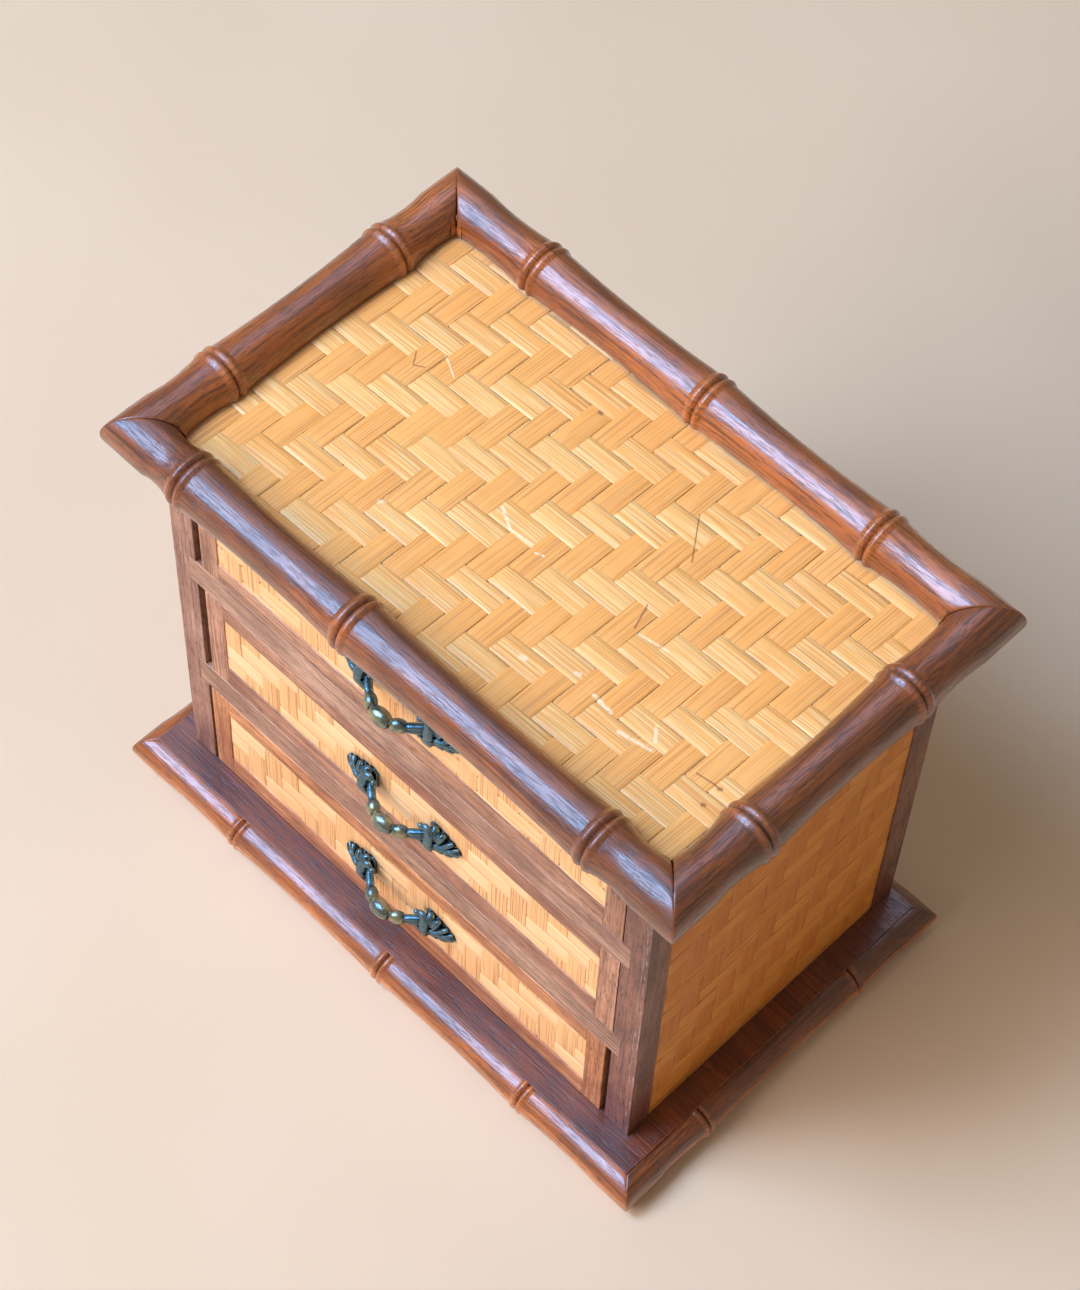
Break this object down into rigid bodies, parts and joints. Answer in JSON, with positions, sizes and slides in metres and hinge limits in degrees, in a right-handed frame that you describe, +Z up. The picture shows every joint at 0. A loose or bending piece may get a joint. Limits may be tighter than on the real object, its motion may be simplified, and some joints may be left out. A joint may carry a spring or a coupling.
{
  "type": "jewelry drawer chest",
  "caption": "Small jewelry chest with drawers: woven bamboo panels in stained corner posts, faux-bamboo mouldings round top and base, cast bow pulls.",
  "frame": {"origin": "on the floor, at the middle of the chest's bounding box", "axes": "+Z up, the drawers open towards -Y, +X along the front to the right"},
  "size_m": [0.267, 0.174, 0.2164],
  "materials": {
    "bamboo_weave": "satin",
    "felt": "matt",
    "antique_brass": "antiqued",
    "steel": "plated",
    "dark_wood": "satin",
    "case_wood": "matt",
    "plain_wood": "raw"
  },
  "bodies": {
    "case": {"back_panel": "plain_wood", "base_board": "dark_wood", "base_moulding_back": "dark_wood", "base_moulding_front": "dark_wood", "base_moulding_left": "dark_wood", "base_moulding_right": "dark_wood", "base_screws": "steel", "floor_guide_left": "plain_wood", "floor_guide_right": "plain_wood", "post_front_left": "case_wood", "post_front_right": "case_wood", "post_rear_left": "case_wood", "post_rear_right": "case_wood", "rail_lower": "case_wood", "rail_upper": "case_wood", "runner_lower_left": "plain_wood", "runner_lower_right": "plain_wood", "runner_upper_left": "plain_wood", "runner_upper_right": "plain_wood", "side_panel_left": "plain_wood", "side_panel_right": "plain_wood", "side_weave_left": "bamboo_weave", "side_weave_right": "bamboo_weave", "top_board": "plain_wood", "top_moulding_back": "dark_wood", "top_moulding_front": "dark_wood", "top_moulding_left": "dark_wood", "top_moulding_right": "dark_wood", "top_weave": "bamboo_weave"},
    "drawer_top": {"drawer_top_back": "plain_wood", "drawer_top_bottom": "plain_wood", "drawer_top_front": "case_wood", "drawer_top_lining": "felt", "drawer_top_pull": "antique_brass", "drawer_top_pull_screws": "steel", "drawer_top_side_left": "plain_wood", "drawer_top_side_right": "plain_wood", "drawer_top_strips": "case_wood", "drawer_top_weave": "bamboo_weave"},
    "drawer_middle": {"drawer_middle_back": "plain_wood", "drawer_middle_bottom": "plain_wood", "drawer_middle_front": "case_wood", "drawer_middle_lining": "felt", "drawer_middle_pull": "antique_brass", "drawer_middle_pull_screws": "steel", "drawer_middle_side_left": "plain_wood", "drawer_middle_side_right": "plain_wood", "drawer_middle_strips": "case_wood", "drawer_middle_weave": "bamboo_weave"},
    "drawer_bottom": {"drawer_bottom_back": "plain_wood", "drawer_bottom_bottom": "plain_wood", "drawer_bottom_front": "case_wood", "drawer_bottom_lining": "felt", "drawer_bottom_pull": "antique_brass", "drawer_bottom_pull_screws": "steel", "drawer_bottom_side_left": "plain_wood", "drawer_bottom_side_right": "plain_wood", "drawer_bottom_strips": "case_wood", "drawer_bottom_weave": "bamboo_weave"}
  },
  "joints": [
    {"name": "drawer_top_slide", "type": "slide", "parent": "case", "child": "drawer_top", "axis": [0, -1, 0], "range_m": [0, 0.105]},
    {"name": "drawer_middle_slide", "type": "slide", "parent": "case", "child": "drawer_middle", "axis": [0, -1, 0], "range_m": [0, 0.105]},
    {"name": "drawer_bottom_slide", "type": "slide", "parent": "case", "child": "drawer_bottom", "axis": [0, -1, 0], "range_m": [0, 0.105]}
  ]
}
